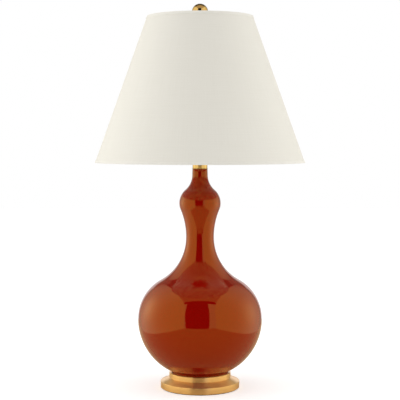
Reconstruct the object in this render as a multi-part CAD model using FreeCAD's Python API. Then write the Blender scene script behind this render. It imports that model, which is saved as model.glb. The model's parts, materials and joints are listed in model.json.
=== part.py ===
import FreeCAD, Part
import math
import os
from FreeCAD import Vector

# Double gourd table lamp, in millimetres, +Z up. The origin is the centre of the felt's underside.
# The lamp is stacked on one threaded pipe: base, gourd, neck collar, harp saddle and socket.
# The harp carries the shade on a swivelling stud, and the finial screws onto the stud.

# Felt and base
felt_radius = 80.0
felt_thickness = 1.5
base_radius = 82.5
base_wall_height = 13.5
base_edge = 0.8
base_ledge = 1.5
base_step_height = 7.8
ring_radius = 64.4
ring_height = 10.2
ring_edge = 0.8
pocket_depth = 7.0
pocket_clearance = 0.4
deck_thickness = 6.0
hollow_radius = 58.0

# Cord inlet in the back of the base
bushing_radius = 4.5
bushing_bore_radius = 3.3
bushing_flange_radius = 5.8
bushing_flange_thickness = 1.5

# Cushion under the gourd's foot
cushion_thickness = 1.5
cushion_margin = 1.5
cushion_hole_radius = 12.0

# Gourd, from its foot up: each rise is counted from the station below
foot_radius = 58.5
foot_height = 7.9
belly_radius = 129.6
belly_lower_arc = 121.6
belly_upper_arc = 92.0
waist_radius = 29.1
waist_rise = 170.6
bulb_radius = 43.2
bulb_rise = 70.8
bulb_lower_arc = 36.3
bulb_upper_arc = 37.0
neck_radius = 16.2
neck_rise = 59.0
mouth_radius = 15.9
mouth_rise = 12.4
gourd_wall = 5.0
gourd_bowl_fill = 5.1
gourd_hole_radius = 6.5

# Pipe and the nuts and washers on it
pipe_radius = 5.0
pipe_bore_radius = 3.5
pipe_tail = 4.0
thread_clearance = 0.05
nut_height = 5.0
nut_across_flats = 15.0
washer_radius = 10.0
washer_thickness = 1.2
seat_washer_thickness = 2.0
seat_washer_radius = 13.0
seat_washer_plug = 4.0
seat_washer_clearance = 0.4

# Neck collar
collar_height = 17.2
collar_radius = 15.7
collar_wall = 1.5
collar_bead = 0.6
collar_bead_height = 1.6

# Harp saddle, harp and sleeves
saddle_width = 13.0
saddle_thickness = 1.6
saddle_flat = 16.0
saddle_rise = 10.0
harp_leg_offset = 30.0
harp_wire_radius = 2.0
harp_bow_offset = 47.0
harp_bow_start = 41.0
harp_bow_end = 97.0
harp_bow_arc = 84.0
harp_shoulder_arc = 36.0
harp_height = 272.4
harp_plate_length = 20.0
harp_plate_width = 9.0
harp_plate_thickness = 3.0
sleeve_length = 16.0
sleeve_wall = 1.35
sleeve_clearance = 0.06

# Socket
socket_hub_radius = 8.0
socket_hub_height = 8.0
socket_cap_radius = 17.0
socket_cap_dome = 5.0
socket_cap_skirt = 9.0
socket_shell_height = 45.0
sheet_thickness = 0.8
sleeve_thickness = 0.7
socket_gap = 0.1
set_screw_radius = 1.5
set_screw_length = 4.0
core_height = 17.0
core_pocket_depth = 3.0
core_pocket_width = 9.0
terminal_head_radius = 3.0
terminal_head_height = 1.8
terminal_shank_radius = 1.5
terminal_shank_length = 4.0
contact_radius = 3.0
contact_height = 2.0
thread_crest_radius = 13.0
thread_depth = 0.7
thread_pitch = 3.6
thread_turns = 5
screw_clearance = 0.25
screw_wall = 0.4

# Switch
switch_height = 11.0
spindle_radius = 1.6
spindle_clearance = 0.06
spindle_inner_end = 6.0
knob_radius = 6.5
knob_length = 13.0
knob_gap = 2.0
knob_rib_count = 14
knob_rib_depth = 0.6
knob_bore_depth = 8.0

# Bulb
bulb_glass_radius = 30.0
bulb_glass_height = 51.0
bulb_glass_wall = 1.0
bulb_tip_radius = 4.5
bulb_tip_height = 2.0
bulb_insulator_radius = 8.5
bulb_insulator_height = 3.5
bulb_gap = 0.1

# Swivel stud and spider
swivel_gap = 0.06
stud_radius = 3.1
stud_height = 10.0
stud_shoulder_radius = 6.5
stud_shoulder_height = 4.0
stud_neck_radius = 2.1
stud_head_radius = 4.0
stud_head_height = 1.5
hub_radius = 11.0
hub_thickness = 4.0
spider_arm_count = 3
spider_arm_radius = 1.25
spider_arm_depth = 4.0
spider_arm_flat = 60.0
spider_arm_bend = 40.0
spider_recess = 18.4
ring_wire_radius = 1.6
ring_inset = 3.0

# Shade
shade_bottom_radius = 218.3
shade_top_radius = 107.7
shade_height = 302.0
hem_thickness = 0.6
hem_height = 6.0
fabric_thickness = 0.8
lining_thickness = 0.5
skin_gap = 0.05

# Finial
finial_ball_radius = 16.74
finial_seat_radius = 7.3
finial_base_height = 8.5
finial_flange_radius = 8.0
finial_flange_height = 1.6
finial_waist_radius = 5.0
finial_gap = 0.1

# Levels that follow from the sizes
base_bottom_z = felt_thickness
ledge_z = base_bottom_z + base_wall_height
ring_foot_z = ledge_z + base_step_height
ring_top_z = ring_foot_z + ring_height
pocket_z = ring_top_z - pocket_depth
deck_z = pocket_z - deck_thickness
bushing_z = base_bottom_z + base_wall_height / 2
gourd_z = pocket_z + cushion_thickness
heel_z = gourd_z + foot_height
heel_reach = foot_radius - belly_radius + belly_lower_arc
belly_z = heel_z + math.sqrt(belly_lower_arc ** 2 - heel_reach ** 2)
waist_z = belly_z + waist_rise
bulb_centre_z = waist_z + bulb_rise
neck_z = bulb_centre_z + neck_rise
mouth_z = neck_z + mouth_rise
foot_nut_z = deck_z - washer_thickness - nut_height
neck_nut_z = mouth_z + seat_washer_thickness
collar_top_z = mouth_z + collar_height
saddle_top_z = collar_top_z + saddle_thickness
cap_dome_z = saddle_top_z + socket_hub_height
cap_skirt_z = cap_dome_z + socket_cap_dome
core_top_z = cap_skirt_z + core_height
switch_z = cap_skirt_z + switch_height
contact_z = core_top_z + contact_height
bulb_z = contact_z + bulb_gap
bulb_insulator_z = bulb_z + bulb_tip_height
bulb_thread_z = bulb_insulator_z + bulb_insulator_height
thread_length = thread_pitch * thread_turns
bulb_glass_z = bulb_thread_z + thread_length
sleeve_z = saddle_top_z + saddle_rise
harp_plate_z = saddle_top_z + harp_height
shoulder_z = harp_plate_z + harp_plate_thickness / 2 + swivel_gap
hub_z = shoulder_z + stud_shoulder_height
hub_top_z = hub_z + hub_thickness
shade_top_z = hub_z + spider_recess
shade_bottom_z = shade_top_z - shade_height
finial_z = hub_top_z + finial_gap
finial_top_z = finial_z + finial_base_height

# Socket radii, from the outside in
shell_radius = socket_cap_radius - sheet_thickness - socket_gap
insulator_radius = shell_radius - sheet_thickness - socket_gap
core_radius = insulator_radius - sleeve_thickness - socket_gap


def line(start, end):
    return Part.LineSegment(Vector(start[0], 0, start[1]), Vector(end[0], 0, end[1])).toShape()


def arc(centre, radius, start, end):
    """Arc in the XZ plane round a centre, from one point to another the short way."""
    start_angle = math.atan2(start[1] - centre[1], start[0] - centre[0])
    end_angle = math.atan2(end[1] - centre[1], end[0] - centre[0])
    turn = (end_angle - start_angle + math.pi) % (2 * math.pi) - math.pi
    middle_angle = start_angle + turn / 2
    middle_x = centre[0] + radius * math.cos(middle_angle)
    middle_z = centre[1] + radius * math.sin(middle_angle)
    ends = Vector(start[0], 0, start[1]), Vector(end[0], 0, end[1])
    return Part.Arc(ends[0], Vector(middle_x, 0, middle_z), ends[1]).toShape()


def turned(edges):
    """Solid turned round the Z axis from a closed outline of edges in the XZ plane."""
    face = Part.Face(Part.Wire(Part.__sortEdges__(edges)))
    return face.revolve(Vector(0, 0, 0), Vector(0, 0, 1), 360)


def turned_polygon(points):
    edges = [line(points[i], points[(i + 1) % len(points)]) for i in range(len(points))]
    return turned(edges)


def tube(radius, bore_radius, bottom, height):
    outside = Part.makeCylinder(radius, height, Vector(0, 0, bottom))
    return outside.cut(Part.makeCylinder(bore_radius, height, Vector(0, 0, bottom)))


def swell(wide, narrow, wide_arc, inset):
    """Two tangent arcs from a widest station to a narrowest one, each point (radius, height).

    The wide station's arc bulges out and the narrow one's is hollow, and both start upright.
    An inset moves the outline inwards by that much, which keeps the arcs tangent."""
    fall = wide[0] - narrow[0]
    rise = narrow[1] - wide[1]
    both_arcs = (fall * fall + rise * rise) / (2 * fall)
    narrow_arc = both_arcs - wide_arc
    wide_centre = (wide[0] - wide_arc, wide[1])
    narrow_centre = (narrow[0] + narrow_arc, narrow[1])
    share = (wide_arc - inset) / both_arcs
    meeting = (
        wide_centre[0] + (narrow_centre[0] - wide_centre[0]) * share,
        wide_centre[1] + (narrow_centre[1] - wide_centre[1]) * share,
    )
    wide_end = (wide[0] - inset, wide[1])
    narrow_end = (narrow[0] - inset, narrow[1])
    bulge = arc(wide_centre, wide_arc - inset, wide_end, meeting)
    hollow = arc(narrow_centre, narrow_arc + inset, meeting, narrow_end)
    return [bulge, hollow]


def rounded_path(points, radii):
    """Wire through points, each inner corner rounded by a tangent arc of its own radius."""
    edges = []
    last = points[0]
    for corner, radius, after in zip(points[1:-1], radii, points[2:]):
        inward = (last - corner).normalize()
        outward = (after - corner).normalize()
        turn = math.pi - inward.getAngle(outward)
        run = radius * math.tan(turn / 2)
        arc_start = corner + inward * run
        arc_end = corner + outward * run
        bisector = (inward + outward).normalize()
        middle = corner + bisector * (radius / math.cos(turn / 2) - radius)
        edges.append(Part.LineSegment(last, arc_start).toShape())
        edges.append(Part.Arc(arc_start, middle, arc_end).toShape())
        last = arc_end
    edges.append(Part.LineSegment(last, points[-1]).toShape())
    return Part.Wire(edges)


def wire_along(points, radii, wire_radius):
    path = rounded_path(points, radii)
    direction = points[1] - points[0]
    circle = Part.Wire(Part.makeCircle(wire_radius, points[0], direction))
    return path.makePipeShell([circle], True, False)


def hex_nut(bottom):
    corner_radius = nut_across_flats / math.sqrt(3)
    corners = []
    for i in range(7):
        angle = math.radians(60 * i)
        corners.append(Vector(corner_radius * math.cos(angle), corner_radius * math.sin(angle), bottom))
    prism = Part.Face(Part.makePolygon(corners)).extrude(Vector(0, 0, nut_height))
    bore = Part.makeCylinder(pipe_radius + thread_clearance, nut_height, Vector(0, 0, bottom))
    return prism.cut(bore)


def felt_pad():
    return Part.makeCylinder(felt_radius, felt_thickness)


def brass_base():
    """Disc with a domed step and an upright ring, hollow underneath and pocketed on top."""
    dome_outer = base_radius - base_ledge
    dome_width = dome_outer - ring_radius
    dome_arc = (dome_width ** 2 + base_step_height ** 2) / (2 * base_step_height)
    dome_centre = (ring_radius, ring_foot_z - dome_arc)
    pocket_radius = foot_radius + pocket_clearance
    bore_radius = pipe_radius + thread_clearance
    corners = [
        (bore_radius, deck_z),
        (hollow_radius, deck_z),
        (hollow_radius, base_bottom_z),
        (base_radius - base_edge, base_bottom_z),
        (base_radius, base_bottom_z + base_edge),
        (base_radius, ledge_z - base_edge),
        (base_radius - base_edge, ledge_z),
        (dome_outer, ledge_z),
    ]
    upper = [
        (ring_radius, ring_foot_z),
        (ring_radius, ring_top_z - ring_edge),
        (ring_radius - ring_edge, ring_top_z),
        (pocket_radius, ring_top_z),
        (pocket_radius, pocket_z),
        (bore_radius, pocket_z),
        corners[0],
    ]
    edges = [line(corners[i], corners[i + 1]) for i in range(len(corners) - 1)]
    edges.append(arc(dome_centre, dome_arc, corners[-1], upper[0]))
    edges += [line(upper[i], upper[i + 1]) for i in range(len(upper) - 1)]
    body = turned(edges)
    seat = Part.makeCylinder(
        bushing_radius + thread_clearance, base_radius, Vector(0, 0, bushing_z), Vector(0, 1, 0)
    )
    return body.cut(seat)


def cord_bushing():
    """Threaded bushing through the back wall, with its flange outside."""
    length = base_radius - hollow_radius
    inner_end = Vector(0, hollow_radius, bushing_z)
    back = Vector(0, 1, 0)
    barrel = Part.makeCylinder(bushing_radius, length + bushing_flange_thickness, inner_end, back)
    flange = Part.makeCylinder(
        bushing_flange_radius, bushing_flange_thickness, Vector(0, base_radius, bushing_z), back
    )
    bore = Part.makeCylinder(bushing_bore_radius, length + bushing_flange_thickness, inner_end, back)
    return barrel.fuse(flange).cut(bore).removeSplitter()


def lock_washer():
    return tube(washer_radius, pipe_radius + thread_clearance, deck_z - washer_thickness, washer_thickness)


def gourd_cushion():
    return tube(foot_radius - cushion_margin, cushion_hole_radius, pocket_z, cushion_thickness)


def gourd_outline(inset):
    """Edges from the belly's widest point up to the mouth, moved inwards by the inset."""
    belly = (belly_radius, belly_z)
    waist = (waist_radius, waist_z)
    bulb = (bulb_radius, bulb_centre_z)
    neck = (neck_radius, neck_z)
    edges = swell(belly, waist, belly_upper_arc, inset)
    edges += swell(bulb, waist, bulb_lower_arc, inset)
    edges += swell(bulb, neck, bulb_upper_arc, inset)
    edges.append(line((neck_radius - inset, neck_z), (mouth_radius - inset, mouth_z)))
    return edges


def gourd_body():
    """Thrown and glazed ceramic: one hollow wall from the foot to the mouth, flat inside the foot."""
    heel_centre = (belly_radius - belly_lower_arc, belly_z)
    inner_arc = belly_lower_arc - gourd_wall
    floor_z = belly_z - inner_arc + gourd_bowl_fill
    floor_radius = heel_centre[0] + math.sqrt(inner_arc ** 2 - (belly_z - floor_z) ** 2)
    edges = gourd_outline(0) + gourd_outline(gourd_wall)
    edges.append(arc(heel_centre, belly_lower_arc, (foot_radius, heel_z), (belly_radius, belly_z)))
    edges.append(arc(heel_centre, inner_arc, (floor_radius, floor_z), (belly_radius - gourd_wall, belly_z)))
    edges.append(line((foot_radius, gourd_z), (foot_radius, heel_z)))
    edges.append(line((gourd_hole_radius, gourd_z), (foot_radius, gourd_z)))
    edges.append(line((gourd_hole_radius, floor_z), (gourd_hole_radius, gourd_z)))
    edges.append(line((floor_radius, floor_z), (gourd_hole_radius, floor_z)))
    edges.append(line((mouth_radius, mouth_z), (mouth_radius - gourd_wall, mouth_z)))
    return turned(edges)


def lamp_pipe():
    bottom = foot_nut_z - pipe_tail
    return tube(pipe_radius, pipe_bore_radius, bottom, cap_dome_z - bottom)


def seat_washer():
    """Washer on the gourd's mouth, with a plug that centres the pipe in the neck."""
    plug_radius = mouth_radius - gourd_wall - seat_washer_clearance
    bore_radius = pipe_radius + thread_clearance
    return turned_polygon([
        (bore_radius, mouth_z - seat_washer_plug),
        (plug_radius, mouth_z - seat_washer_plug),
        (plug_radius, mouth_z),
        (seat_washer_radius, mouth_z),
        (seat_washer_radius, neck_nut_z),
        (bore_radius, neck_nut_z),
    ])


def neck_collar():
    """Spun brass cup over the mouth, beaded at its foot and clamped by the socket above."""
    top_radius = collar_radius - collar_bead / 2
    inner_radius = collar_radius - collar_wall
    bore_radius = pipe_radius + thread_clearance
    bead_radius = collar_radius + collar_bead
    under_top = collar_top_z - collar_wall
    return turned_polygon([
        (inner_radius, mouth_z),
        (bead_radius, mouth_z),
        (bead_radius, mouth_z + collar_bead_height),
        (collar_radius, mouth_z + collar_bead_height + collar_bead),
        (top_radius, collar_top_z - collar_bead),
        (top_radius - collar_bead, collar_top_z),
        (bore_radius, collar_top_z),
        (bore_radius, under_top),
        (inner_radius - collar_bead, under_top),
    ])


def harp_saddle():
    """Pressed strip with raised ends, each with a post for a leg of the harp."""
    tip = harp_leg_offset + harp_wire_radius
    foot = harp_leg_offset - harp_wire_radius
    bend = saddle_thickness * (foot - saddle_flat) / math.hypot(foot - saddle_flat, saddle_rise)
    low = collar_top_z
    right = [
        (saddle_flat, low),
        (foot, low + saddle_rise),
        (tip, low + saddle_rise),
        (tip, low + saddle_rise + saddle_thickness),
        (foot - bend / 2, low + saddle_rise + saddle_thickness),
        (saddle_flat - bend / 2, low + saddle_thickness),
    ]
    left = [(-x, z) for x, z in reversed(right)]
    corners = [Vector(x, -saddle_width / 2, z) for x, z in right + left]
    strip = Part.Face(Part.makePolygon(corners + corners[:1])).extrude(Vector(0, saddle_width, 0))
    strip = strip.cut(Part.makeCylinder(pipe_radius + thread_clearance, saddle_thickness, Vector(0, 0, low)))
    for side in (-1, 1):
        foot_point = Vector(side * harp_leg_offset, 0, low + saddle_rise)
        height = sleeve_z + sleeve_length / 2 - foot_point.z
        strip = strip.fuse(Part.makeCylinder(harp_wire_radius, height, foot_point))
    return strip.removeSplitter()


def harp_wire():
    """Bent wire that bows out past the bulb, with a drilled plate at its top for the stud."""
    leg_z = sleeve_z + sleeve_length / 2
    halves = []
    for side in (-1, 1):
        points = [
            Vector(side * harp_leg_offset, 0, leg_z),
            Vector(side * harp_leg_offset, 0, leg_z + harp_bow_start),
            Vector(side * harp_bow_offset, 0, leg_z + harp_bow_end),
            Vector(side * harp_bow_offset, 0, harp_plate_z),
            Vector(side * (harp_plate_length / 2 - harp_wire_radius), 0, harp_plate_z),
        ]
        radii = [harp_bow_arc, harp_bow_arc, harp_shoulder_arc]
        halves.append(wire_along(points, radii, harp_wire_radius))
    corner = Vector(
        -harp_plate_length / 2, -harp_plate_width / 2, harp_plate_z - harp_plate_thickness / 2
    )
    plate = Part.makeBox(harp_plate_length, harp_plate_width, harp_plate_thickness, corner)
    bore = Part.makeCylinder(
        stud_neck_radius + swivel_gap, harp_plate_thickness, corner + Vector(-corner.x, -corner.y, 0)
    )
    return halves[0].fuse(plate).fuse(halves[1]).cut(bore)


def harp_sleeve(side):
    """Brass tube that locks one leg of the harp to its post."""
    bore_radius = harp_wire_radius + sleeve_clearance
    bottom = sleeve_z + swivel_gap
    sleeve = tube(bore_radius + sleeve_wall, bore_radius, bottom, sleeve_length)
    sleeve.translate(Vector(side * harp_leg_offset, 0, 0))
    return sleeve


def socket_cap():
    """Spun cap on a hub that threads onto the pipe, with a side hole for the set screw."""
    skirt_top = cap_skirt_z + socket_cap_skirt
    bore_radius = pipe_radius + thread_clearance
    skirt_bore = socket_cap_radius - sheet_thickness
    cap = turned_polygon([
        (bore_radius, saddle_top_z),
        (socket_hub_radius, saddle_top_z),
        (socket_hub_radius, cap_dome_z),
        (socket_cap_radius, cap_skirt_z),
        (socket_cap_radius, skirt_top),
        (skirt_bore, skirt_top),
        (skirt_bore, cap_skirt_z),
        (socket_hub_radius, cap_dome_z + sheet_thickness),
        (bore_radius, cap_dome_z + sheet_thickness),
    ])
    hole = Part.makeCylinder(
        set_screw_radius + thread_clearance,
        socket_hub_radius,
        Vector(0, 0, saddle_top_z + socket_hub_height / 2),
        Vector(0, 1, 0),
    )
    return cap.cut(hole)


def set_screw():
    start = Vector(0, pipe_radius + thread_clearance, saddle_top_z + socket_hub_height / 2)
    return Part.makeCylinder(set_screw_radius, set_screw_length, start, Vector(0, 1, 0))


def spindle_hole(radius):
    return Part.makeCylinder(radius, socket_cap_radius * 2, Vector(0, 0, switch_z), Vector(0, -1, 0))


def socket_shell():
    shell = tube(shell_radius, shell_radius - sheet_thickness, cap_skirt_z, socket_shell_height)
    return shell.cut(spindle_hole(spindle_radius * 1.5))


def insulating_sleeve():
    bore_radius = insulator_radius - sleeve_thickness
    sleeve = tube(insulator_radius, bore_radius, cap_skirt_z, socket_shell_height - sheet_thickness)
    return sleeve.cut(spindle_hole(spindle_radius * 1.5))


def socket_core():
    """Moulded block that holds the switch, with a pocket on each side for a terminal screw."""
    core = Part.makeCylinder(core_radius, core_height, Vector(0, 0, cap_skirt_z))
    flat = core_radius - core_pocket_depth
    low = cap_skirt_z + (core_height - core_pocket_width) / 2
    for side in (-1, 1):
        start = flat if side > 0 else -core_radius
        corner = Vector(start, -core_pocket_width / 2, low)
        pocket = Part.makeBox(core_pocket_depth, core_pocket_width, core_pocket_width, corner)
        core = core.cut(pocket)
        shank = Part.makeCylinder(
            terminal_shank_radius + thread_clearance,
            terminal_shank_length,
            Vector(side * flat, 0, low + core_pocket_width / 2),
            Vector(-side, 0, 0),
        )
        core = core.cut(shank)
    bore = Part.makeCylinder(
        spindle_radius + spindle_clearance,
        core_radius,
        Vector(0, -spindle_inner_end + spindle_clearance, switch_z),
        Vector(0, -1, 0),
    )
    return core.cut(bore)


def terminal_screws():
    flat = core_radius - core_pocket_depth
    middle_z = cap_skirt_z + core_height / 2
    screws = []
    for side in (-1, 1):
        seat = Vector(side * flat, 0, middle_z)
        head = Part.makeCylinder(terminal_head_radius, terminal_head_height, seat, Vector(side, 0, 0))
        shank = Part.makeCylinder(
            terminal_shank_radius, terminal_shank_length, seat, Vector(-side, 0, 0)
        )
        screws.append(head.fuse(shank).removeSplitter())
    return Part.makeCompound(screws)


def centre_contact():
    return Part.makeCylinder(contact_radius, contact_height, Vector(0, 0, core_top_z))


def rolled_thread(crest_radius, bottom):
    """Points up a row of rolled ridges, crest and root in turn."""
    points = [(crest_radius - thread_depth, bottom)]
    for turn in range(thread_turns):
        low = bottom + turn * thread_pitch
        points.append((crest_radius, low + thread_pitch / 3))
        points.append((crest_radius, low + thread_pitch * 2 / 3))
        points.append((crest_radius - thread_depth, low + thread_pitch))
    return points


def screw_shell():
    """Thin brass shell whose ridges stand clear of the bulb's."""
    inner = rolled_thread(thread_crest_radius + screw_clearance, bulb_thread_z)
    outer = [(r + screw_wall, z) for r, z in reversed(inner)]
    root_radius = inner[0][0]
    foot = [(root_radius + screw_wall, core_top_z), (root_radius, core_top_z)]
    return turned_polygon(inner + outer + foot)


def switch_spindle():
    front = socket_cap_radius + knob_gap + knob_bore_depth
    start = Vector(0, -spindle_inner_end, switch_z)
    return Part.makeCylinder(spindle_radius, front - spindle_inner_end, start, Vector(0, -1, 0))


def switch_knob():
    """Ribbed round knob pushed onto the spindle."""
    start = socket_cap_radius + knob_gap
    forward = Vector(0, -1, 0)
    knob = Part.makeCylinder(knob_radius, knob_length, Vector(0, -start, switch_z), forward)
    for i in range(knob_rib_count):
        angle = 2 * math.pi * i / knob_rib_count
        place = Vector(knob_radius * math.cos(angle), -start, switch_z + knob_radius * math.sin(angle))
        knob = knob.cut(Part.makeCylinder(knob_rib_depth, knob_length, place, forward))
    bore = Part.makeCylinder(spindle_radius, knob_bore_depth, Vector(0, -start, switch_z), forward)
    return knob.cut(bore)


def bulb_tip():
    return Part.makeCylinder(bulb_tip_radius, bulb_tip_height, Vector(0, 0, bulb_z))


def bulb_insulator():
    return Part.makeCone(
        bulb_tip_radius, bulb_insulator_radius, bulb_insulator_height, Vector(0, 0, bulb_insulator_z)
    )


def bulb_screw_base():
    """Rolled metal cap, closed at its foot round the insulator."""
    outside = rolled_thread(thread_crest_radius, bulb_thread_z)
    inside = [(r - screw_wall * 2, z) for r, z in reversed(outside[1:])]
    floor_z = bulb_thread_z + screw_wall * 2
    inside.append((outside[0][0] - screw_wall * 2, floor_z))
    return turned_polygon(outside + inside + [(bulb_tip_radius, floor_z), (bulb_tip_radius, bulb_thread_z)])


def bulb_glass():
    """Hollow round glass drawn down to a neck that sits on the screw base."""
    neck_edge = thread_crest_radius - thread_depth
    wide = (bulb_glass_radius, bulb_glass_z + bulb_glass_height)
    narrow = (neck_edge, bulb_glass_z)
    inner_top = bulb_glass_radius - bulb_glass_wall
    edges = []
    for inset in (0, bulb_glass_wall):
        for edge in swell(wide, narrow, bulb_glass_radius, inset):
            edges.append(edge)
        radius = bulb_glass_radius - inset
        edges.append(arc((0, wide[1]), radius, (radius, wide[1]), (0, wide[1] + radius)))
    edges.append(line((neck_edge - bulb_glass_wall, bulb_glass_z), (neck_edge, bulb_glass_z)))
    edges.append(line((0, wide[1] + inner_top), (0, wide[1] + bulb_glass_radius)))
    return turned(edges)


def harp_stud():
    """Riveted through the harp's plate, free to turn, with a shoulder and a threaded end."""
    half_plate = harp_plate_thickness / 2
    head_top = harp_plate_z - half_plate - swivel_gap
    top = finial_z + finial_base_height - finial_flange_height
    return turned_polygon([
        (0, head_top - stud_head_height),
        (stud_head_radius, head_top - stud_head_height),
        (stud_head_radius, head_top),
        (stud_neck_radius, head_top),
        (stud_neck_radius, shoulder_z),
        (stud_shoulder_radius, shoulder_z),
        (stud_shoulder_radius, hub_z),
        (stud_radius, hub_z),
        (stud_radius, min(hub_top_z + stud_height, top)),
        (0, min(hub_top_z + stud_height, top)),
    ])


def spider_arm_points(angle):
    """Centre line of one arm: in its hub hole, out level, then up to the top ring."""
    level_z = hub_z + hub_thickness / 2
    ring_z = shade_top_z - ring_inset
    end_radius = ring_centre_radius(ring_z) - ring_wire_radius - skin_gap
    along = Vector(math.cos(angle), math.sin(angle), 0)
    up = Vector(0, 0, 1)
    return [
        along * (hub_radius - spider_arm_depth) + up * level_z,
        along * spider_arm_flat + up * level_z,
        along * end_radius + up * ring_z,
    ]


def spider_angles():
    return [math.pi / 2 + 2 * math.pi * i / spider_arm_count for i in range(spider_arm_count)]


def spider_hub():
    hub = tube(hub_radius, stud_radius + thread_clearance, hub_z, hub_thickness)
    for angle in spider_angles():
        start = spider_arm_points(angle)[0]
        along = Vector(math.cos(angle), math.sin(angle), 0)
        hole = Part.makeCylinder(spider_arm_radius + thread_clearance, spider_arm_depth, start, along)
        hub = hub.cut(hole)
    return hub


def spider_arms():
    arms = []
    for angle in spider_angles():
        arms.append(wire_along(spider_arm_points(angle), [spider_arm_bend], spider_arm_radius))
    return Part.makeCompound(arms)


def shade_radius(z):
    """Radius of the shade's outer face at a height, hems included."""
    share = (z - shade_bottom_z) / shade_height
    return shade_bottom_radius + (shade_top_radius - shade_bottom_radius) * share


def ring_centre_radius(z):
    """Radius of a ring wire that touches the lining's inner face at a height."""
    slope = (shade_bottom_radius - shade_top_radius) / shade_height
    lining_face = hem_thickness + fabric_thickness + lining_thickness + 2 * skin_gap
    return shade_radius(z) - lining_face - skin_gap - ring_wire_radius * math.hypot(1, slope)


def shade_skin(depth, thickness, bottom, top):
    """Thin cone at a depth below the shade's outer face."""
    return turned_polygon([
        (shade_radius(bottom) - depth - thickness, bottom),
        (shade_radius(bottom) - depth, bottom),
        (shade_radius(top) - depth, top),
        (shade_radius(top) - depth - thickness, top),
    ])


def shade_fabric():
    edge = hem_thickness + skin_gap
    return shade_skin(edge, fabric_thickness, shade_bottom_z + edge, shade_top_z - edge)


def shade_lining():
    edge = hem_thickness + skin_gap
    depth = edge + fabric_thickness + skin_gap
    return shade_skin(depth, lining_thickness, shade_bottom_z + edge, shade_top_z - edge)


def shade_hem(edge_z, inward):
    """Folded tape over one rim: a band outside and a strip over the edge."""
    fold_z = edge_z + inward * hem_thickness
    band_end = edge_z + inward * hem_height
    depth = hem_thickness + fabric_thickness + lining_thickness + 2 * skin_gap
    return turned_polygon([
        (shade_radius(edge_z) - depth, edge_z),
        (shade_radius(edge_z), edge_z),
        (shade_radius(band_end), band_end),
        (shade_radius(band_end) - hem_thickness, band_end),
        (shade_radius(fold_z) - hem_thickness, fold_z),
        (shade_radius(fold_z) - depth, fold_z),
    ])


def shade_ring(z):
    return Part.makeTorus(ring_centre_radius(z), ring_wire_radius, Vector(0, 0, z))


def finial_base():
    """Turned brass foot, waisted, threaded inside for the stud."""
    bore_radius = stud_radius + thread_clearance
    bore_top = finial_top_z - finial_flange_height / 2
    waist_z = (finial_z + finial_flange_height + finial_top_z) / 2
    return turned_polygon([
        (bore_radius, finial_z),
        (finial_flange_radius, finial_z),
        (finial_flange_radius, finial_z + finial_flange_height),
        (finial_waist_radius, waist_z - finial_flange_height / 2),
        (finial_waist_radius, waist_z + finial_flange_height / 2),
        (finial_seat_radius, finial_top_z - finial_flange_height / 2),
        (finial_seat_radius, finial_top_z),
        (0, finial_top_z),
        (0, bore_top),
        (bore_radius, bore_top),
    ])


def finial_ball():
    centre_z = finial_top_z + math.sqrt(finial_ball_radius ** 2 - finial_seat_radius ** 2)
    below = Part.makeBox(
        finial_ball_radius * 2,
        finial_ball_radius * 2,
        finial_ball_radius,
        Vector(-finial_ball_radius, -finial_ball_radius, finial_top_z - finial_ball_radius),
    )
    return Part.makeSphere(finial_ball_radius, Vector(0, 0, centre_z)).cut(below)


os.makedirs("parts", exist_ok=True)

pieces = {
    "felt_pad": felt_pad(),
    "brass_base": brass_base(),
    "cord_bushing": cord_bushing(),
    "lock_washer": lock_washer(),
    "foot_nut": hex_nut(foot_nut_z),
    "gourd_cushion": gourd_cushion(),
    "gourd_body": gourd_body(),
    "lamp_pipe": lamp_pipe(),
    "seat_washer": seat_washer(),
    "neck_nut": hex_nut(neck_nut_z),
    "neck_collar": neck_collar(),
    "harp_saddle": harp_saddle(),
    "harp_wire": harp_wire(),
    "harp_sleeve_left": harp_sleeve(-1),
    "harp_sleeve_right": harp_sleeve(1),
    "socket_cap": socket_cap(),
    "set_screw": set_screw(),
    "socket_shell": socket_shell(),
    "insulating_sleeve": insulating_sleeve(),
    "socket_core": socket_core(),
    "terminal_screws": terminal_screws(),
    "centre_contact": centre_contact(),
    "screw_shell": screw_shell(),
    "switch_spindle": switch_spindle(),
    "switch_knob": switch_knob(),
    "bulb_tip": bulb_tip(),
    "bulb_insulator": bulb_insulator(),
    "bulb_screw_base": bulb_screw_base(),
    "bulb_glass": bulb_glass(),
    "harp_stud": harp_stud(),
    "spider_hub": spider_hub(),
    "spider_arms": spider_arms(),
    "shade_top_ring": shade_ring(shade_top_z - ring_inset),
    "shade_bottom_ring": shade_ring(shade_bottom_z + ring_inset),
    "shade_lining": shade_lining(),
    "shade_fabric": shade_fabric(),
    "shade_top_hem": shade_hem(shade_top_z, -1),
    "shade_bottom_hem": shade_hem(shade_bottom_z, 1),
    "finial_base": finial_base(),
    "finial_ball": finial_ball(),
}

for name, shape in pieces.items():
    shape.exportStep("parts/" + name + ".step")
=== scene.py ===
import math

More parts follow.
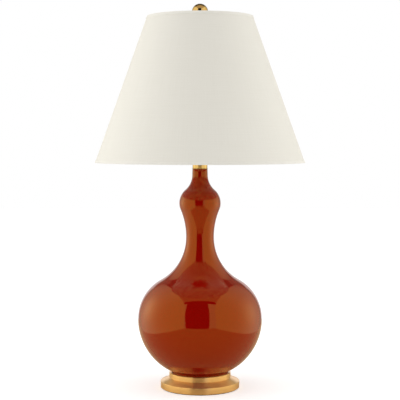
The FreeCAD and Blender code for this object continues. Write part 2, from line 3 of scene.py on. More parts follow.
import bpy
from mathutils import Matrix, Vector
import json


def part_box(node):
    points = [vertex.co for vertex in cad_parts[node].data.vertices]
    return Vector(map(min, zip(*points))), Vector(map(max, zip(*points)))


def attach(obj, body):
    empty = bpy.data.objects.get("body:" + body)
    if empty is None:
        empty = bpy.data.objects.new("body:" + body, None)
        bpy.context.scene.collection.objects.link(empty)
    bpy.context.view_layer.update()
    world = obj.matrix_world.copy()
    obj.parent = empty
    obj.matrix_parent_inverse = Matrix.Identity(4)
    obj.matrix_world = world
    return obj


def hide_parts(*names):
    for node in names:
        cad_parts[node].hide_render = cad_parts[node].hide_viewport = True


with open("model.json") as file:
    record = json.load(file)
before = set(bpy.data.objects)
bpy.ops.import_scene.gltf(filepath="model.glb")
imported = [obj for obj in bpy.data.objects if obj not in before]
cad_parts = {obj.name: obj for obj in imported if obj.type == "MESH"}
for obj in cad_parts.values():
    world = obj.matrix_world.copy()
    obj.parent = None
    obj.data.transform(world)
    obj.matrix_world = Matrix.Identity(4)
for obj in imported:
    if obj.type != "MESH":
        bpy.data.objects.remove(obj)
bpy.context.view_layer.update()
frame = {"nodes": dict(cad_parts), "record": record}

# ---------------------------------------------------------------- felt pad
# The real piece is a disc of dark wool felt, glued under the brass base so that
# the lamp doesn't scratch a table. Its cut edge is slightly rounded and fuzzy.


class Wire:
    """A node socket that can be used in plain arithmetic."""

    def __init__(self, tree, socket):
        self.tree = tree
        self.socket = socket

    def maths(self, operation, other=None, swap=False):
        node = self.tree.nodes.new("ShaderNodeMath")
        node.operation = operation
        first, second = (other, self) if swap else (self, other)
        for slot, value in zip(node.inputs, (first, second)):
            if isinstance(value, Wire):
                self.tree.links.new(value.socket, slot)
            elif value is not None:
                slot.default_value = value
        return Wire(self.tree, node.outputs[0])

    def __add__(self, other):
        return self.maths("ADD", other)

    def __radd__(self, other):
        return self.maths("ADD", other)

    def __sub__(self, other):
        return self.maths("SUBTRACT", other)

    def __rsub__(self, other):
        return self.maths("SUBTRACT", other, swap=True)

    def __mul__(self, other):
        return self.maths("MULTIPLY", other)

    def __rmul__(self, other):
        return self.maths("MULTIPLY", other)

    def __pow__(self, other):
        return self.maths("POWER", other)


class Finish:
    """One material: its shader, and the nodes that feed it."""

    def __init__(self, name, roughness, metallic=0.0, **constants):
        self.material = bpy.data.materials.new(name)
        self.material.use_nodes = True
        self.tree = self.material.node_tree
        self.shader = self.tree.nodes["Principled BSDF"]
        self.shader.inputs["Roughness"].default_value = roughness
        self.shader.inputs["Metallic"].default_value = metallic
        for socket, value in constants.items():
            self.shader.inputs[socket.replace("_", " ")].default_value = value

    def node(self, kind, settings=None, output=0, **values):
        """Adds a node: its settings first, then the value or link of each named socket."""
        node = self.tree.nodes.new(kind)
        for key, value in (settings or {}).items():
            setattr(node, key, value)
        for key, value in values.items():
            slot = node.inputs[key.replace("_", " ")]
            if isinstance(value, Wire):
                self.tree.links.new(value.socket, slot)
            else:
                slot.default_value = value
        return Wire(self.tree, node.outputs[output])

    def place(self):
        """The point on the piece, in its own metres."""
        return self.node("ShaderNodeTexCoord", output="Object")

    def split(self, vector):
        parts = self.node("ShaderNodeSeparateXYZ", Vector=vector).socket.node.outputs
        return [Wire(self.tree, part) for part in parts]

    def noise(self, vector, scale, detail=3.0):
        return self.node("ShaderNodeTexNoise", Vector=vector, Scale=scale, Detail=detail)

    def blend(self, factor, low, high):
        """A colour between two, which may be written values or links."""
        mix = self.tree.nodes.new("ShaderNodeMix")
        mix.data_type = "RGBA"
        for index, value in ((0, factor), (6, low), (7, high)):
            if isinstance(value, Wire):
                self.tree.links.new(value.socket, mix.inputs[index])
            else:
                mix.inputs[index].default_value = value
        return Wire(self.tree, mix.outputs[2])

    def feed(self, socket, wire):
        self.tree.links.new(wire.socket, self.shader.inputs[socket])

    def bump(self, height, strength, distance):
        self.feed("Normal", self.node(
            "ShaderNodeBump", Height=height, Strength=strength, Distance=distance
        ))

    def put_on(self, piece):
        piece.data.materials.clear()
        piece.data.materials.append(self.material)


def grained(name, grain_scale, dark, pale, detail=3.0, bump=None, dullness=None, **constants):
    """A finish whose colour runs between two along a fine grain.

    The bump is its strength and depth, and the dullness its spread and its least value."""
    finish = Finish(name, **constants)
    grain = finish.noise(finish.place(), grain_scale, detail)
    finish.feed("Base Color", finish.blend(grain, dark + (1,), pale + (1,)))
    if dullness:
        spread, least = dullness
        finish.feed("Roughness", grain * spread + least)
    if bump:
        strength, depth = bump
        finish.bump(grain, strength, depth)
    return finish


def start_mesh(name):
    """A new piece of one vertex at the origin, selected and in edit mode."""
    bpy.ops.object.select_all(action="DESELECT")
    bpy.ops.mesh.primitive_plane_add(size=1.0)
    piece = bpy.context.object
    piece.name = name
    piece.data.name = name
    bpy.ops.object.mode_set(mode="EDIT")
    bpy.ops.mesh.select_all(action="SELECT")
    bpy.ops.mesh.merge(type="CENTER")
    return piece


same_point = 1e-6


def turn_on_lathe(name, outline, steps, smooth=35):
    """Draws an outline of (radius, height) points by extruding, and spins it round Z.

    An outline that isn't closed starts and ends on the axis. Edges flatter than the
    smooth angle, in degrees, are shaded round."""
    piece = start_mesh(name)
    bpy.ops.transform.translate(value=(outline[0][0], 0, outline[0][1]))
    for before, after in zip(outline, outline[1:]):
        step = (after[0] - before[0], 0, after[1] - before[1])
        bpy.ops.mesh.extrude_region_move(TRANSFORM_OT_translate={"value": step})
    bpy.ops.mesh.select_all(action="SELECT")
    bpy.ops.mesh.remove_doubles(threshold=same_point)
    bpy.ops.mesh.spin(steps=steps, angle=2 * math.pi, center=(0, 0, 0), axis=(0, 0, 1))
    bpy.ops.mesh.select_all(action="SELECT")
    bpy.ops.mesh.remove_doubles(threshold=same_point)
    bpy.ops.mesh.normals_make_consistent(inside=False)
    bpy.ops.object.mode_set(mode="OBJECT")
    bpy.ops.object.shade_smooth_by_angle(angle=math.radians(smooth))
    return piece


def sweep_points(centre, radius, start_degrees, end_degrees, count):
    """Points along an arc of an outline, both ends included."""
    points = []
    for i in range(count + 1):
        angle = math.radians(start_degrees + (end_degrees - start_degrees) * i / count)
        points.append((centre[0] + radius * math.cos(angle), centre[1] + radius * math.sin(angle)))
    return points


def dress(piece, body, finish, node):
    """Puts a finished piece on its body, in its material, in place of its CAD node."""
    finish.put_on(piece)
    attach(piece, body)
    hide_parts(node)


felt_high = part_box("felt_pad")[1]
felt_radius = felt_high[0]
felt_top = felt_high[2]
felt_round = 0.0005

felt_outline = [(0, 0)]
felt_outline += sweep_points((felt_radius - felt_round, felt_round), felt_round, -90, 0, 4)
felt_outline += sweep_points((felt_radius - felt_round, felt_top - felt_round), felt_round, 0, 90, 4)
felt_outline.append((0, felt_top))

wool_felt = grained(
    "wool_felt", 900.0, (0.020, 0.016, 0.012), (0.060, 0.050, 0.040), detail=4.0,
    bump=(0.5, 0.0004), roughness=0.95, Sheen_Weight=0.3, Sheen_Roughness=0.5,
)
felt = turn_on_lathe("felt_disc", felt_outline, steps=96)
dress(felt, "stand", wool_felt, "felt_pad")

# ---------------------------------------------------------------- brass base
# The real piece is a heavy turned brass disc with a sloping step and an upright ring
# that the gourd's foot drops into. It is satin finished, with fine turning lines.

base_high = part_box("brass_base")[1]
base_radius = base_high[0]
ring_top = base_high[2]
base_bottom = felt_top
base_ledge_z = 0.0150
base_ledge = 0.0015
ring_foot_z = 0.0228
ring_radius = 0.0644
foot_radius = 0.0585
pocket_clearance = 0.0004
pocket_depth = 0.0070
deck_thickness = 0.0060
pocket_radius = foot_radius + pocket_clearance
pocket_z = ring_top - pocket_depth
deck_z = pocket_z - deck_thickness
hollow_radius = 0.0580
pipe_hole = 0.00505
base_round = 0.0008

base_outline = [(pipe_hole, deck_z), (hollow_radius, deck_z), (hollow_radius, base_bottom)]
base_outline += sweep_points(
    (base_radius - base_round, base_bottom + base_round), base_round, -90, 0, 5
)
base_outline += sweep_points(
    (base_radius - base_round, base_ledge_z - base_round), base_round, 0, 90, 5
)
base_outline += [(base_radius - base_ledge, base_ledge_z), (ring_radius, ring_foot_z)]
base_outline += sweep_points(
    (ring_radius - base_round, ring_top - base_round), base_round, 0, 90, 5
)
base_outline += sweep_points(
    (pocket_radius + base_round, ring_top - base_round), base_round, 90, 180, 5
)
base_outline += [(pocket_radius, pocket_z), (pipe_hole, pocket_z), (pipe_hole, deck_z)]


def turned_metal(name, colour, roughness, line_scale, line_strength, metallic=1.0, brushed=0.0):
    """Brass off a lathe: faint rings of tooling, and cloudy handling marks."""
    cloud_scale = 45.0
    cloud_dullness = 0.10
    ring_dullness = 0.12
    mean_dullness = (cloud_dullness + ring_dullness) / 2
    handled_tone = 0.82
    handled = tuple(part * handled_tone for part in colour)
    finish = Finish(
        name, roughness=roughness, metallic=metallic, Anisotropic=brushed, Anisotropic_Rotation=0.25
    )
    place = finish.place()
    x, y, z = finish.split(place)
    reach = (x * x + y * y) ** 0.5
    rings = finish.node(
        "ShaderNodeTexNoise", {"noise_dimensions": "1D"}, W=(reach + z) * line_scale, Detail=4.0
    )
    clouds = finish.noise(place, cloud_scale, detail=4.0)
    finish.feed("Base Color", finish.blend(clouds, handled + (1,), colour + (1,)))
    marks = clouds * cloud_dullness + rings * ring_dullness
    finish.feed("Roughness", marks + (roughness - mean_dullness))
    finish.bump(rings, line_strength, 0.0002)
    return finish


satin_brass = turned_metal(
    "satin_brass", (0.98, 0.61, 0.26), 0.32, 900.0, 0.10, metallic=0.85, brushed=0.92
)
base = turn_on_lathe("turned_base", base_outline, steps=192, smooth=20)
dress(base, "stand", satin_brass, "brass_base")

# ---------------------------------------------------------------- gourd body
# The real piece is a thrown ceramic double gourd, hollow, dipped in a deep red glaze.
# The glaze is thick and glossy, faintly clouded, with a few fine dark specks.

gourd_low, gourd_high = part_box("gourd_body")
gourd_foot_z = gourd_low[2]
mouth_z = gourd_high[2]
# Radii, heights above the foot, and the radii of the arcs that meet at the widest points
belly_radius = gourd_high[0]
belly_height = 0.1185
belly_lower_arc = 0.1216
belly_upper_arc = 0.0920
waist_radius = 0.0291
waist_height = 0.2891
bulb_radius = 0.0432
bulb_height = 0.3599
bulb_lower_arc = 0.0363
bulb_upper_arc = 0.0370
neck_radius = 0.0162
neck_height = 0.4189
gourd_wall = 0.0050
gourd_bowl_fill = 0.0051
gourd_hole_radius = 0.0065
mouth_radius = 0.0159
mouth_round = 0.0012
heel_round = 0.0010


def swell_points(wide, wide_arc, narrow, inset, count):
    """An S curve of two tangent arcs, from a widest point up or down to a narrowest one.

    Both points are a radius and a height above the gourd's foot."""
    wide_radius, wide_height = wide
    narrow_radius, narrow_height = narrow
    fall = wide_radius - narrow_radius
    rise = narrow_height - wide_height
    both = (fall ** 2 + rise ** 2) / (2 * fall)
    narrow_arc = both - wide_arc
    turn = math.degrees(math.atan2(abs(rise), both - fall))
    up = 1 if rise > 0 else -1
    wide_centre = (wide_radius - wide_arc, gourd_foot_z + wide_height)
    narrow_centre = (narrow_radius + narrow_arc, gourd_foot_z + narrow_height)
    points = sweep_points(wide_centre, wide_arc - inset, 0, up * turn, count)
    points += sweep_points(narrow_centre, narrow_arc + inset, 180 + up * turn, 180, count)[1:]
    return points


def gourd_profile(inset, count):
    """The gourd's face from the belly up to the neck, moved inwards by the inset."""
    waist = (waist_radius, waist_height)
    bulb = (bulb_radius, bulb_height)
    points = swell_points((belly_radius, belly_height), belly_upper_arc, waist, inset, count)
    points += list(reversed(swell_points(bulb, bulb_lower_arc, waist, inset, count)))[1:]
    points += swell_points(bulb, bulb_upper_arc, (neck_radius, neck_height), inset, count)[1:]
    return points


belly_z = gourd_foot_z + belly_height
heel_centre = (belly_radius - belly_lower_arc, belly_z)
heel_angle = -math.degrees(math.acos((foot_radius - heel_centre[0]) / belly_lower_arc))
inner_arc = belly_lower_arc - gourd_wall
floor_z = belly_z - inner_arc + gourd_bowl_fill
floor_angle = -math.degrees(math.asin((belly_z - floor_z) / inner_arc))

gourd_outline = [(gourd_hole_radius, floor_z), (gourd_hole_radius, gourd_foot_z)]
gourd_outline += sweep_points(
    (foot_radius - heel_round, gourd_foot_z + heel_round), heel_round, -90, 0, 4
)
gourd_outline += sweep_points(heel_centre, belly_lower_arc, heel_angle, 0, 34)
gourd_outline += gourd_profile(0, 22)[1:]
gourd_outline += sweep_points(
    (mouth_radius - mouth_round, mouth_z - mouth_round), mouth_round, 0, 90, 5
)
gourd_outline += sweep_points(
    (mouth_radius - gourd_wall + mouth_round, mouth_z - mouth_round), mouth_round, 90, 180, 5
)
gourd_outline += list(reversed(gourd_profile(gourd_wall, 12)))
gourd_outline += sweep_points(heel_centre, inner_arc, 0, floor_angle, 16)[1:]
gourd_outline.append((gourd_hole_radius, floor_z))

red_glaze = Finish(
    "red_glaze", roughness=0.06, IOR=1.75, Specular_Tint=(1.0, 0.60, 0.14, 1)
)
glaze_place = red_glaze.place()
glaze_clouds = red_glaze.noise(glaze_place, 14.0, detail=3.0)
glaze_specks = red_glaze.noise(glaze_place, 420.0, detail=2.0)
speck_threshold = 0.62
speck_sharpness = 4.0
glaze_colour = red_glaze.blend(
    glaze_clouds, (0.255, 0.0012, 0.0004, 1), (0.280, 0.0030, 0.0006, 1)
)
glaze_colour = red_glaze.blend(
    (glaze_specks - speck_threshold) * speck_sharpness, glaze_colour, (0.17, 0.001, 0.0005, 1)
)
red_glaze.feed("Base Color", glaze_colour)
red_glaze.feed("Roughness", glaze_clouds * 0.04 + 0.03)
red_glaze.bump(red_glaze.noise(glaze_place, 22.0, detail=2.0), 0.02, 0.004)

gourd = turn_on_lathe("thrown_gourd", gourd_outline, steps=224, smooth=40)
dress(gourd, "stand", red_glaze, "gourd_body")

# ---------------------------------------------------------------- neck collar
# The real piece is a spun brass cup that hides the gourd's mouth. It is polished, has a
# rolled bead at its foot, and is clamped down by the socket on the lamp's pipe.

collar_low, collar_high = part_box("neck_collar")
collar_foot_z = collar_low[2]
collar_top_z = collar_high[2]
collar_radius = 0.0157
collar_wall = 0.0015
collar_taper = 0.0003
collar_inner_taper = 0.0006
bead_radius = 0.0008
bead_reach = collar_high[0] - bead_radius
bead_shoulder = 0.00192

collar_outline = [(collar_radius - collar_wall, collar_foot_z)]
collar_outline += sweep_points((bead_reach, collar_foot_z + bead_radius), bead_radius, -90, 90, 10)
collar_outline.append((collar_radius, collar_foot_z + bead_shoulder))
collar_outline += sweep_points(
    (collar_radius - collar_taper - base_round, collar_top_z - base_round), base_round, 0, 90, 5
)
collar_outline += [(pipe_hole, collar_top_z), (pipe_hole, collar_top_z - collar_wall)]
collar_outline.append(
    (collar_radius - collar_wall - collar_inner_taper, collar_top_z - collar_wall)
)
collar_outline.append(collar_outline[0])

polished_brass = turned_metal("polished_brass", (0.66, 0.45, 0.20), 0.15, 700.0, 0.10)
collar = turn_on_lathe("spun_collar", collar_outline, steps=96)
dress(collar, "stand", polished_brass, "neck_collar")

# ---------------------------------------------------------------- finial
# The real piece is a polished brass ball soldered to a small turned foot. The foot is
# threaded inside, and screws down onto the stud to hold the shade.

ball_low, ball_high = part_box("finial_ball")
finial_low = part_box("finial_base")[0]
ball_seat_z = ball_low[2]
ball_top = ball_high[2]
ball_radius = 0.01674
ball_seat_radius = 0.0073
ball_centre = (0, ball_top - ball_radius)
ball_seat_angle = math.degrees(math.acos(ball_seat_radius / ball_radius))
stud_hole = 0.00315
finial_foot_z = finial_low[2]
finial_foot_radius = 0.0080
finial_rim = 0.0008
finial_waist_radius = 0.0050
finial_waist_z = (finial_foot_z + ball_seat_z + 2 * finial_rim) / 2
finial_hollow = 0.0022
finial_hollow_start = -110
finial_hollow_end = -250

ball_outline = [(0, ball_seat_z)]
ball_outline += sweep_points(ball_centre, ball_radius, -ball_seat_angle, 90, 48)
ball_outline[-1] = (0, ball_top)
finial_outline = [(stud_hole, finial_foot_z)]
finial_outline += sweep_points(
    (finial_foot_radius - finial_rim, finial_foot_z + finial_rim), finial_rim, -90, 90, 8
)
finial_outline += sweep_points(
    (finial_waist_radius + finial_hollow, finial_waist_z), finial_hollow,
    finial_hollow_start, finial_hollow_end, 12,
)
finial_outline += sweep_points(
    (ball_seat_radius - finial_rim, ball_seat_z - finial_rim), finial_rim, -90, 90, 8
)
finial_outline += [(0, ball_seat_z), (0, ball_seat_z - finial_rim)]
finial_outline += [(stud_hole, ball_seat_z - finial_rim), (stud_hole, finial_foot_z)]

ball = turn_on_lathe("polished_ball", ball_outline, steps=96)
dress(ball, "finial", polished_brass, "finial_ball")
finial_foot = turn_on_lathe("turned_finial_foot", finial_outline, steps=64)
dress(finial_foot, "finial", polished_brass, "finial_base")

# ---------------------------------------------------------------- shade
# The real piece is a stiff hardback shade: woven off-white cloth bonded to a white lining,
# rolled into a cone, lapped at the back and taped over a wire ring at each rim.

fabric_low, fabric_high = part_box("shade_fabric")
bottom_hem_low, bottom_hem_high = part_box("shade_bottom_hem")
top_hem_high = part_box("shade_top_hem")[1]
shade_bottom_radius = bottom_hem_high[0]
shade_top_radius = top_hem_high[0]
fabric_gap = 0.00065
fabric_thickness = 0.0008
lining_thickness = 0.0005
skin_gap = 0.00005
hem_thickness = 0.0006
hem_height = 0.0060
shade_bottom_z = bottom_hem_low[2]
shade_top_z = top_hem_high[2]
shade_slope = (shade_bottom_radius - shade_top_radius) / (shade_top_z - shade_bottom_z)


def shade_face(z, depth):
    """Radius of the shade at a height, at a depth below its taped outer face."""
    return shade_bottom_radius - shade_slope * (z - shade_bottom_z) - depth


def skin_outline(depth, thickness, low, high, rows):
    """A closed thin cone: up the outer face and down the inner one."""
    heights = [low + (high - low) * i / rows for i in range(rows + 1)]
    points = [(shade_face(z, depth), z) for z in heights]
    points += [(shade_face(z, depth + thickness), z) for z in reversed(heights)]
    points.append(points[0])
    return points


def woven(name, pale, dark, thread, slub_strength):
    """Plain woven cloth wrapped round the shade: threads run round it and up it.

    Slubs are the thicker stretches of thread: long along it and narrow across it."""
    slub_length_scale = 12.0
    slub_width_scale = 520.0
    finish = Finish(name, roughness=0.85, Sheen_Weight=0.15, Sheen_Roughness=0.4)
    x, y, z = finish.split(finish.place())
    mean_radius = (shade_bottom_radius + shade_top_radius) / 2
    along = y.maths("ARCTAN2", x) * mean_radius
    warp = (along * (2 * math.pi / thread)).maths("SINE")
    weft = (z * (2 * math.pi / thread)).maths("SINE")
    weave = warp * weft
    weft_place = finish.node(
        "ShaderNodeCombineXYZ", X=along * slub_length_scale, Y=z * slub_width_scale
    )
    warp_place = finish.node(
        "ShaderNodeCombineXYZ", X=along * slub_width_scale, Y=z * slub_length_scale
    )
    slubs = finish.noise(weft_place, 1.0, detail=2.0) + finish.noise(warp_place, 1.0, detail=2.0)
    tone = weave * 0.10 + slubs * 0.5
    finish.feed("Base Color", finish.blend(tone, dark + (1,), pale + (1,)))
    finish.feed("Roughness", slubs * 0.05 + 0.80)
    finish.bump(weave * 0.5 + slubs * slub_strength, 0.35, 0.00025)
    return finish


shade_cloth = woven("shade_linen", (0.860, 0.835, 0.765), (0.790, 0.762, 0.685), 0.0011, 1.2)
fabric_outline = skin_outline(fabric_gap, fabric_thickness, fabric_low[2], fabric_high[2], 30)
fabric = turn_on_lathe("rolled_shade_cloth", fabric_outline, steps=256)
dress(fabric, "shade", shade_cloth, "shade_fabric")

lining_low, lining_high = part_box("shade_lining")
white_lining = grained(
    "shade_lining", 60.0, (0.86, 0.85, 0.81), (0.90, 0.89, 0.86),
    bump=(0.08, 0.001), roughness=0.55,
)
lining_depth = fabric_gap + fabric_thickness + skin_gap
lining_outline = skin_outline(
    lining_depth, lining_thickness, lining_low[2], lining_high[2], 12
)
lining = turn_on_lathe("rolled_shade_lining", lining_outline, steps=256)
dress(lining, "shade", white_lining, "shade_lining")

# ---------------------------------------------------------------- shade hems
# The real pieces are strips of the same cloth, folded to a soft edge and glued over both
# rims, so that they hide the wire rings. Here their cloth is painted a touch paler than the shade's,
# a painted highlight that makes them show as thin brighter lines.

hem_depth = hem_thickness + fabric_thickness + lining_thickness + 2 * skin_gap
hem_round = 0.00028
# The hem's two colours are paler than the shade's cloth: a painted highlight along the folded rims.
hem_cloth_painted_paler = woven("shade_hem", (0.875, 0.850, 0.785), (0.815, 0.788, 0.715), 0.0009, 1.0)


def hem_outline(edge_z, inward):
    """A folded tape in section: over the rim, down the outside, and rounded at its ends."""
    fold_z = edge_z + inward * hem_thickness
    band_z = edge_z + inward * hem_height
    start = -90 if inward > 0 else 90
    points = [(shade_face(fold_z, hem_depth), fold_z), (shade_face(edge_z, hem_depth), edge_z)]
    points += sweep_points(
        (shade_face(edge_z + inward * hem_round, hem_round), edge_z + inward * hem_round),
        hem_round, start, 0, 5,
    )
    points += sweep_points(
        (shade_face(band_z - inward * hem_round, hem_round), band_z - inward * hem_round),
        hem_round, 0, -start, 5,
    )
    points.append((shade_face(band_z, hem_thickness), band_z))
    points.append((shade_face(fold_z, hem_thickness), fold_z))
    points.append(points[0])
    return points


for hem_name, hem_node, hem_edge, hem_inward in (
    ("top_hem_tape", "shade_top_hem", shade_top_z, -1),
    ("bottom_hem_tape", "shade_bottom_hem", shade_bottom_z, 1),
):
    hem = turn_on_lathe(hem_name, hem_outline(hem_edge, hem_inward), steps=256, smooth=60)
    dress(hem, "shade", hem_cloth_painted_paler, hem_node)

# ---------------------------------------------------------------- bulb
# The real piece is a frosted round lamp bulb: a blown glass envelope cemented into a
# rolled aluminium screw cap, with a black glass insulator and a soldered tip.

glass_low, glass_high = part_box("bulb_glass")
glass_radius = glass_high[0]
glass_neck_radius = 0.0123
glass_wall = 0.0010
glass_centre_z = glass_high[2] - glass_radius
glass_widest = (glass_radius, glass_centre_z - gourd_foot_z)
glass_neck = (glass_neck_radius, glass_low[2] - gourd_foot_z)

glass_outline = list(reversed(swell_points(glass_widest, glass_radius, glass_neck, 0, 20)))
glass_outline += sweep_points((0, glass_centre_z), glass_radius, 0, 90, 24)[1:]
glass_outline[-1] = (0, glass_high[2])
glass_outline += [(0, glass_high[2] - glass_wall)]
glass_outline += sweep_points((0, glass_centre_z), glass_radius - glass_wall, 90, 0, 16)[1:]
glass_outline += swell_points(glass_widest, glass_radius, glass_neck, glass_wall, 14)[1:]
glass_outline.append(glass_outline[0])

frosted = grained(
    "frosted_glass", 120.0, (0.88, 0.88, 0.86), (0.93, 0.93, 0.91),
    dullness=(0.10, 0.30), roughness=0.35, Coat_Roughness=0.15, Coat_Weight=0.4,
)
glass = turn_on_lathe("blown_bulb_glass", glass_outline, steps=96)
dress(glass, "bulb", frosted, "bulb_glass")

# ---------------------------------------------------------------- metalwork and small parts
# The real pieces are the brass of the socket, harp, sleeves and spider, the plated steel of
# the pipe, nuts, washers and rings, and the moulded and pressed parts inside the socket.

steel = grained(
    "plated_steel", 260.0, (0.50, 0.50, 0.49), (0.66, 0.66, 0.64),
    bump=(0.15, 0.0002), dullness=(0.2, 0.25), roughness=0.35, metallic=1.0,
)
rubber = grained(
    "cushion_rubber", 500.0, (0.015, 0.015, 0.015), (0.035, 0.034, 0.033), detail=2.0,
    bump=(0.3, 0.0003), roughness=0.8,
)
fibre = grained(
    "fibre_sleeve", 350.0, (0.20, 0.14, 0.08), (0.34, 0.26, 0.17), detail=4.0,
    bump=(0.3, 0.0003), roughness=0.9,
)
moulding = grained(
    "black_moulding", 700.0, (0.012, 0.012, 0.012), (0.026, 0.025, 0.024), detail=2.0,
    bump=(0.2, 0.0002), dullness=(0.15, 0.38),
    roughness=0.45, Coat_Weight=0.2, Coat_Roughness=0.3,
)
bulb_cap = grained(
    "bulb_cap", 300.0, (0.62, 0.62, 0.61), (0.76, 0.76, 0.74),
    dullness=(0.2, 0.2), roughness=0.3, metallic=1.0,
)

node_finishes = {
    "polished_brass": polished_brass,
    "steel": steel,
    "cushion_rubber": rubber,
    "fibre_sleeve": fibre,
    "black_moulding": moulding,
    "bulb_cap": bulb_cap,
}
replaced = {
    "felt_pad", "brass_base", "gourd_body", "neck_collar", "finial_ball", "finial_base",
    "shade_fabric", "shade_lining", "shade_top_hem", "shade_bottom_hem", "bulb_glass",
}
for entry in frame["record"]["subparts"]:
    if entry["node"] not in replaced:
        node_finishes[entry["material_slot"]].put_on(frame["nodes"][entry["node"]])

# ---------------------------------------------------------------- floor, lights and camera
# The lamp stands on a plain white floor between two soft white walls, each brightest in its
# middle. The cards round them show only in reflections: the table, the ceiling, the back of
# the room and the opening in front.

camera_distance = 2.364
camera_height = 0.5234
camera_pitch = 3.135
camera_lens = 102.2
camera_sensor = 36.0
floor_size = 12.0
floor_glow = 0.40
soft_fill = 0.76
room_light = (1, 0.84, 0.58, 1)
room_half_width = 6.0
wall_distance = 1.2
wall_green = 0.93
wall_blue = 0.62
wall_spot_falloff = 5.0
wall_fade_to_back = 0.45
ceiling_height = 2.4
ceiling_front_y = -1.3
panel_half_width = 1.3
panel_back_y = 0.3
panel_drop = 0.02
back_distance = 2.4
back_low_z = 0.95
hole_y = -6.0
lamp_distance = 1.8
lamp_y = -0.3
lamp_z = 0.6
lamp_size = 2.0
lamp_aim = Vector((0, 0, 0.4))
# Corners of the table's reflection, as x, y and z: flat near the lamp, falling away in front
table_corners = (
    (-0.43, 0.90, 0.0002), (0.43, 0.90, 0.0002), (0.43, -0.90, 0.0002), (3.00, -6.00, -0.95),
    (-3.00, -6.00, -0.95), (-0.43, -0.90, 0.0002),
)
# Corners of the dark opening in front, as x, y and z
hole_corners = (
    (-2.75, hole_y, -2.0), (1.68, hole_y, -2.0), (2.25, hole_y, 8.2), (5.45, hole_y, 8.6),
    (5.45, hole_y, 11.5), (-5.45, hole_y, 11.5), (-5.45, hole_y, 8.6), (-3.90, hole_y, 8.6),
)
# Outline of each side wall, as y and z
wall_outline = (
    (-2.20, -1.40), (2.40, -1.40), (2.40, 1.65), (0.96, 2.17), (0.31, 2.30), (-1.10, 2.36),
    (-1.72, 2.10), (-2.10, 1.50), (-2.20, 0.60),
)


def add_card(name, corners, glow, colour=(0, 0, 0, 1)):
    """A flat stage card through these corners, seen in reflections alone."""
    card = start_mesh(name)
    bpy.ops.transform.translate(value=corners[0])
    for before, after in zip(corners, corners[1:]):
        step = tuple(b - a for a, b in zip(before, after))
        bpy.ops.mesh.extrude_region_move(TRANSFORM_OT_translate={"value": step})
    bpy.ops.mesh.select_all(action="SELECT")
    bpy.ops.mesh.edge_face_add()
    bpy.ops.object.mode_set(mode="OBJECT")
    card.visible_camera = False
    card.visible_diffuse = False
    card.visible_shadow = False
    finish = Finish(name, roughness=1.0, Base_Color=colour, Specular_IOR_Level=0.0)
    finish.shader.inputs["Emission Color"].default_value = room_light
    finish.shader.inputs["Emission Strength"].default_value = glow
    finish.put_on(card)
    return finish


def level_corners(half_width, front_y, back_y, z):
    """Corners of a level card."""
    return (
        (-half_width, front_y, z), (half_width, front_y, z), (half_width, back_y, z),
        (-half_width, back_y, z),
    )


bpy.ops.object.select_all(action="DESELECT")
bpy.ops.mesh.primitive_plane_add(size=floor_size)
floor = bpy.context.object
floor.name = "pale_floor"
floor.visible_glossy = False
floor_finish = Finish("pale_floor", roughness=0.9, Base_Color=(0.86, 0.86, 0.86, 1))
seen_directly = floor_finish.node("ShaderNodeLightPath", output="Is Camera Ray")
glow_colour = (floor_glow, floor_glow, floor_glow, 1)
floor_finish.feed("Emission Color", floor_finish.blend(seen_directly, (0, 0, 0, 1), glow_colour))
floor_finish.shader.inputs["Emission Strength"].default_value = 1.0
floor_finish.put_on(floor)

add_card("table_in_reflections", table_corners, glow=0.0, colour=(0.78, 0.65, 0.38, 1))
add_card("dark_opening", hole_corners, glow=0.0)
ceiling_corners = level_corners(
    room_half_width, ceiling_front_y, room_half_width, ceiling_height
)
add_card("ceiling", ceiling_corners, glow=0.12)
panel_corners = level_corners(
    panel_half_width, ceiling_front_y, panel_back_y, ceiling_height - panel_drop
)
add_card("upper_panel", panel_corners, glow=0.65)
back_corners = (
    (-room_half_width, back_distance, back_low_z), (room_half_width, back_distance, back_low_z),
    (room_half_width, back_distance, ceiling_height),
    (-room_half_width, back_distance, ceiling_height),
)
add_card("back_of_room", back_corners, glow=0.25)

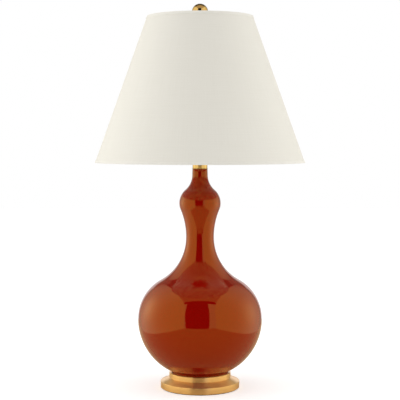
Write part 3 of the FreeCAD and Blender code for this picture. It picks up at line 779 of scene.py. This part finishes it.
for wall_name, wall_x, spot_y, spot_z, plain, spot in (
    ("soft_wall_left", -wall_distance, 0.48, 0.43, 1.35, 0.9),
    ("soft_wall_right", wall_distance, 0.32, 0.32, 1.25, 0.6),
):
    wall_finish = add_card(wall_name, [(wall_x, y, z) for y, z in wall_outline], glow=1.0)
    y, z = wall_finish.split(wall_finish.place())[1:]
    spread = (y - spot_y) ** 2.0 + (z - spot_z) ** 2.0
    hot_spot = (spread * -wall_spot_falloff).maths("EXPONENT") * spot
    brightness = hot_spot + plain - y.maths("MAXIMUM", 0.0) * wall_fade_to_back
    wall_finish.feed("Emission Color", wall_finish.node(
        "ShaderNodeCombineColor",
        Red=brightness, Green=brightness * wall_green, Blue=brightness * wall_blue,
    ))

for lamp_name, lamp_x, lamp_power in (
    ("soft_lamp_left", -lamp_distance, 15.0),
    ("soft_lamp_right", lamp_distance, 12.0),
):
    lamp_place = Vector((lamp_x, lamp_y, lamp_z))
    facing = (lamp_aim - lamp_place).to_track_quat("-Z", "Y").to_euler()
    bpy.ops.object.light_add(type="AREA", location=lamp_place, rotation=facing)
    lamp = bpy.context.object
    lamp.name = lamp_name
    lamp.data.shape = "SQUARE"
    lamp.data.size = lamp_size
    lamp.data.energy = lamp_power
    lamp.visible_glossy = False

world = bpy.data.worlds.new("studio")
bpy.context.scene.world = world
world.use_nodes = True
sky = world.node_tree.nodes["Background"]
sky.inputs["Color"].default_value = (1, 1, 1, 1)
rays = world.node_tree.nodes.new("ShaderNodeLightPath")
seen = Wire(world.node_tree, rays.outputs["Is Camera Ray"])
seen = seen + Wire(world.node_tree, rays.outputs["Is Glossy Ray"])
seen = seen + Wire(world.node_tree, rays.outputs["Is Transmission Ray"])
strength = seen.maths("MINIMUM", 1.0) * (1.0 - soft_fill) + soft_fill
world.node_tree.links.new(strength.socket, sky.inputs["Strength"])

bpy.ops.object.camera_add(
    location=(0, -camera_distance, camera_height),
    rotation=(math.radians(90 - camera_pitch), 0, 0),
)
camera = bpy.context.object
camera.name = "view_camera"
camera.data.lens = camera_lens
camera.data.sensor_width = camera_sensor
bpy.context.scene.camera = camera
bpy.context.scene.view_settings.view_transform = "Standard"
